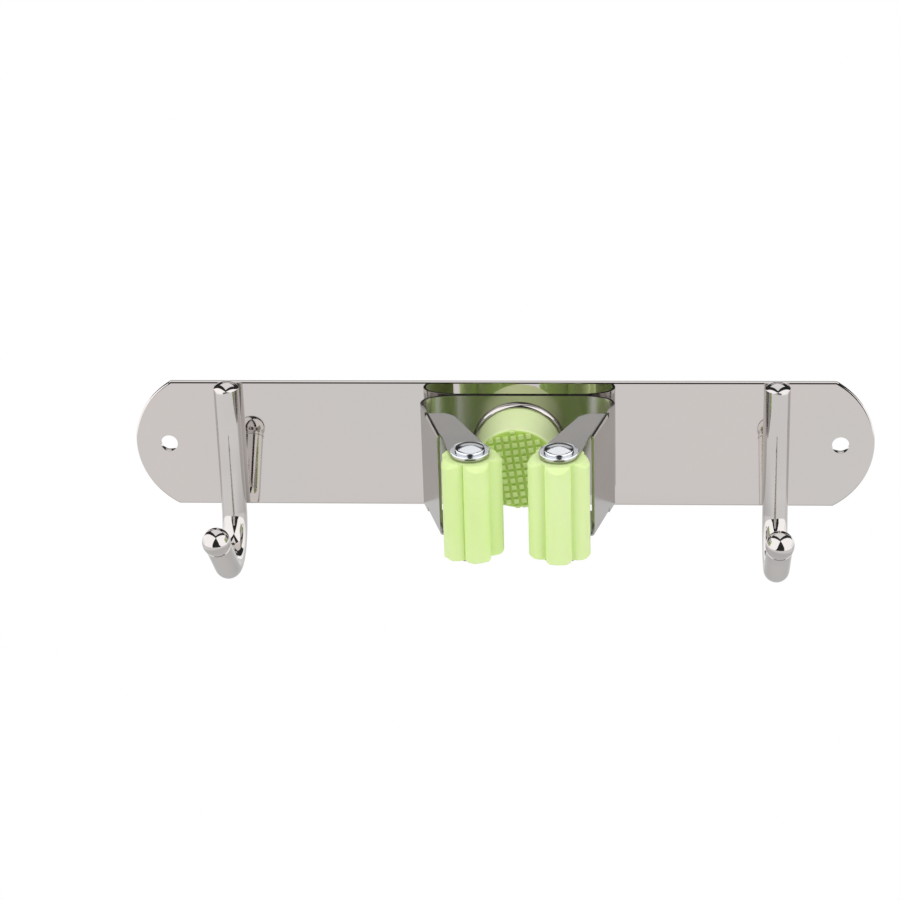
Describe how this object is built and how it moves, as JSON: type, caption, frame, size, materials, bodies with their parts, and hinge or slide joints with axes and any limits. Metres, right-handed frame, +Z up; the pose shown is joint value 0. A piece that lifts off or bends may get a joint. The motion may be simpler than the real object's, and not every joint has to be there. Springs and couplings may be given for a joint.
{
  "type": "wall mop holder rack",
  "caption": "Wall plate with round rod hooks at its sides and a sprung clip with lobed rollers that grips a broom or mop handle.",
  "frame": {"origin": "middle of the plate's back face, which lies on the wall", "axes": "+X along the plate to the right as seen from the front, +Y into the wall, +Z up"},
  "size_m": [0.19, 0.043, 0.0495],
  "materials": {
    "plate_steel": "mirror-polished stainless steel",
    "spring_steel": "polished stainless spring strip",
    "rod_steel": "polished stainless rod",
    "rivet_zinc": "bright zinc plate, slightly blue",
    "roller_lime": "soft satin moulding",
    "pad_lime": "soft matt moulding"
  },
  "bodies": {
    "rack": {"back_plate": "plate_steel", "left_hook": "rod_steel", "right_hook": "rod_steel", "clip_back": "spring_steel", "left_spring_bend": "spring_steel", "right_spring_bend": "spring_steel", "pad_cup": "rivet_zinc", "grip_pad": "pad_lime", "centre_rivet": "rivet_zinc"},
    "left_arm": {"left_spring_arm": "spring_steel", "left_sleeve": "rivet_zinc", "left_rivet": "rivet_zinc", "left_top_washer": "rivet_zinc", "left_bottom_washer": "rivet_zinc"},
    "right_arm": {"right_spring_arm": "spring_steel", "right_sleeve": "rivet_zinc", "right_rivet": "rivet_zinc", "right_top_washer": "rivet_zinc", "right_bottom_washer": "rivet_zinc"},
    "left_roller": {"left_roller": "roller_lime"},
    "right_roller": {"right_roller": "roller_lime"}
  },
  "joints": [
    {"name": "left_arm_flex", "type": "hinge", "parent": "rack", "child": "left_arm", "pos_m": [-0.01634, -0.00663, 0], "axis": [0, 0, -1], "range_deg": [-4, 20], "stiffness_Nm_per_rad": 3, "deforming": ["left_spring_bend"]},
    {"name": "right_arm_flex", "type": "hinge", "parent": "rack", "child": "right_arm", "pos_m": [0.02514, -0.00663, 0], "axis": [0, 0, 1], "range_deg": [-4, 20], "stiffness_Nm_per_rad": 3, "deforming": ["right_spring_bend"]},
    {"name": "left_roller_spin", "type": "hinge", "parent": "left_arm", "child": "left_roller", "pos_m": [-0.00586, -0.0347, 0], "axis": [0, 0, 1], "continuous": true},
    {"name": "right_roller_spin", "type": "hinge", "parent": "right_arm", "child": "right_roller", "pos_m": [0.01589, -0.03513, 0], "axis": [0, 0, 1], "continuous": true}
  ]
}
